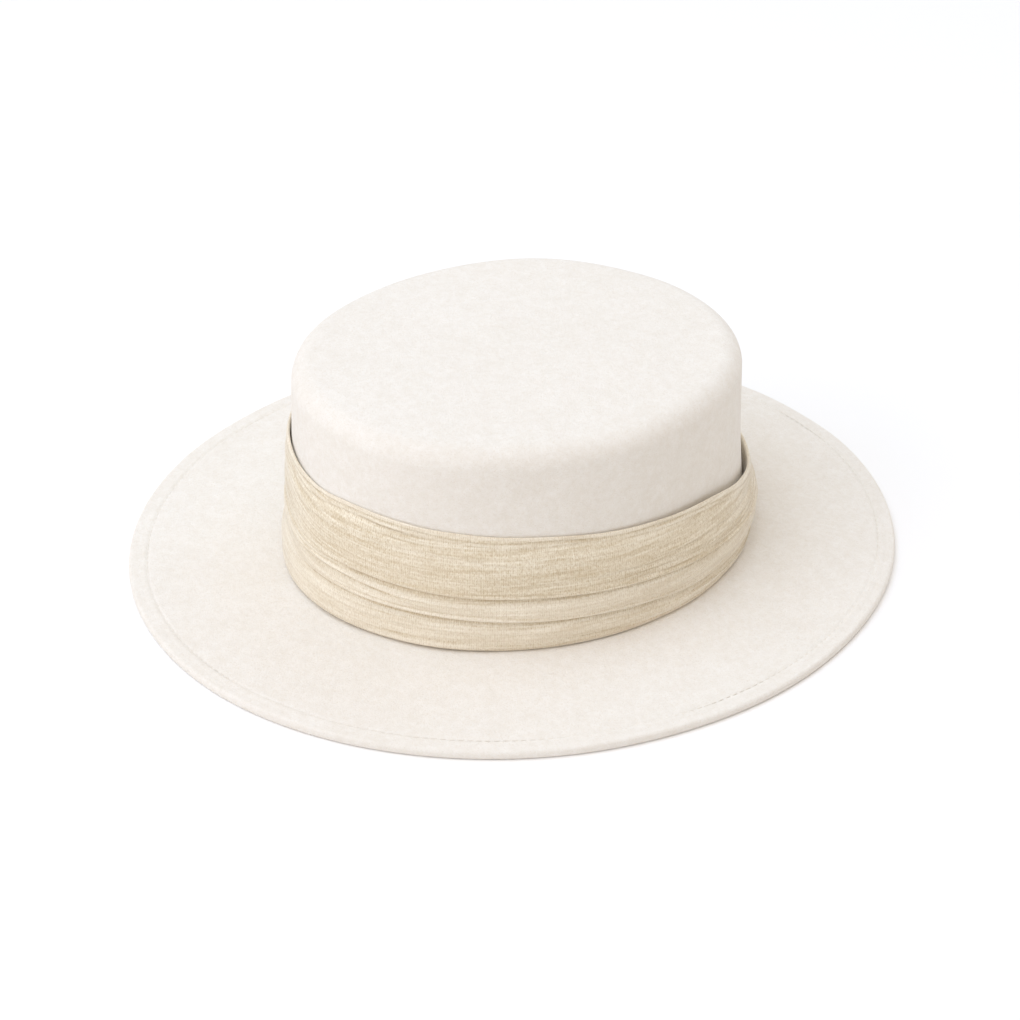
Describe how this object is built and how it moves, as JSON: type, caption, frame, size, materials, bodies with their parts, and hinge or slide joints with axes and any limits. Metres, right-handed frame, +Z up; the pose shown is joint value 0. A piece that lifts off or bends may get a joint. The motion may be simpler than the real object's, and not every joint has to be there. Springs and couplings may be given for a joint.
{
  "type": "wool felt boater hat",
  "caption": "Boater hat of stiff wool felt with an oval flat-topped crown, a flat hemmed brim and a pleated cloth band round the foot of the crown.",
  "frame": {"origin": "on the plane the hat rests on, under the middle of the brim", "axes": "+Z up through the crown, +Y towards the back of the head along the hat's length, +X towards the wearer's left"},
  "size_m": [0.3064, 0.3324, 0.0924],
  "materials": {
    "felt": "ivory wool felt, matt, with a short soft nap",
    "band_cloth": "champagne slub-woven cloth laid in fine pleats, faint silky sheen"
  },
  "bodies": {
    "root": {"felt_crown_and_brim": "felt", "pleated_band": "band_cloth"}
  },
  "joints": []
}
